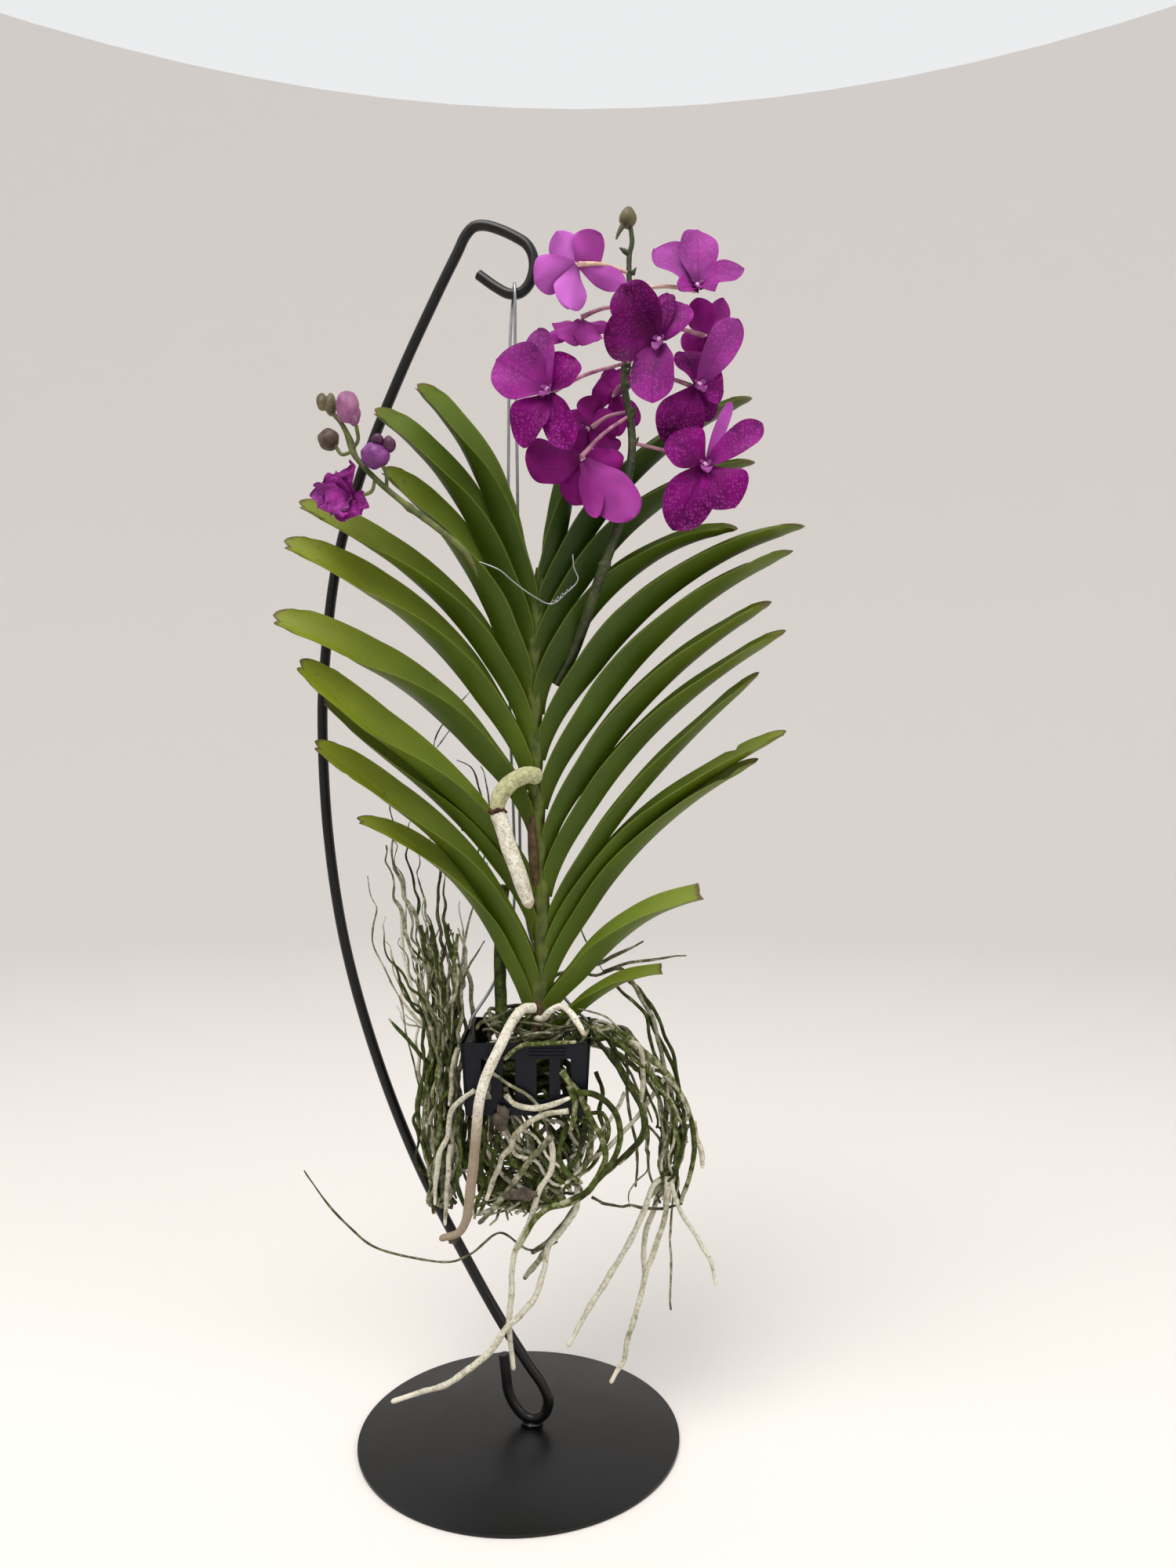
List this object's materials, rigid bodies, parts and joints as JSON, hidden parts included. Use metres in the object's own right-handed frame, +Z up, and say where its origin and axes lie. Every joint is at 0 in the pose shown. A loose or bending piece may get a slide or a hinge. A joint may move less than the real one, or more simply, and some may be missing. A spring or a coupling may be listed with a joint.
{
  "type": "potted vanda orchid",
  "caption": "Strap-leaved vanda orchid with magenta blooms and long bare roots, hanging in a slotted black basket from a bent steel hook stand with a round plate.",
  "frame": {"origin": "centre of the round base plate's underside, where the stand rests", "axes": "+Z up; +X to the right and -Y towards the viewer, as the plant is pictured"},
  "size_m": [0.4146, 0.25, 0.9615],
  "materials": {
    "black_steel": "satin",
    "galvanised_wire": "satin",
    "basket_plastic": "satin",
    "stem": "matte",
    "leaf": "satin",
    "leaf_shaded": "satin",
    "spike": "satin",
    "bloom": "matte",
    "bud": "matte",
    "root_white": "matte",
    "root_green": "matte",
    "root_grey": "matte"
  },
  "bodies": {
    "root": {"stand_plate": "black_steel", "stand_rod": "black_steel", "hanger_wire": "galvanised_wire", "crown_tie_wire": "galvanised_wire", "basket": "basket_plastic", "stem": "stem", "leaf_left_01": "leaf_shaded", "leaf_left_02": "leaf_shaded", "leaf_left_03": "leaf", "leaf_left_04": "leaf", "leaf_left_05": "leaf", "leaf_left_06": "leaf", "leaf_left_07": "leaf", "leaf_left_08": "leaf", "leaf_left_09": "leaf", "leaf_left_10": "leaf", "leaf_left_11": "leaf", "leaf_right_00": "leaf_shaded", "leaf_right_01": "leaf_shaded", "leaf_right_02": "leaf_shaded", "leaf_right_03": "leaf", "leaf_right_04": "leaf", "leaf_right_05": "leaf", "leaf_right_06": "leaf", "leaf_right_07": "leaf", "leaf_right_08": "leaf", "leaf_right_09": "leaf", "leaf_right_10": "leaf", "leaf_right_11": "leaf", "leaf_right_12": "leaf", "bloom_01": "bloom", "bloom_02": "bloom", "bloom_03": "bloom", "bloom_04": "bloom", "bloom_05": "bloom", "bloom_06": "bloom", "bloom_07": "bloom", "bloom_08": "bloom", "bloom_09": "bloom", "bloom_10": "bloom", "bloom_11": "bloom", "flower_spike": "spike", "spike_top_bud": "bud", "second_spike": "spike", "bud_violet": "bloom", "bud_purple": "bloom", "wilted_bloom": "bloom", "root_mid_stem": "root_white", "root_front": "root_white", "root_right_short": "root_white", "root_back_strap": "root_green", "root_long_left": "root_grey", "basket_roots": "root_green", "root_ball": "root_green", "root_curtain_left": "root_grey", "root_loops_right": "root_green", "root_loops_front": "root_green", "root_hanging_middle": "root_white", "root_hanging_right": "root_white"}
  },
  "joints": []
}
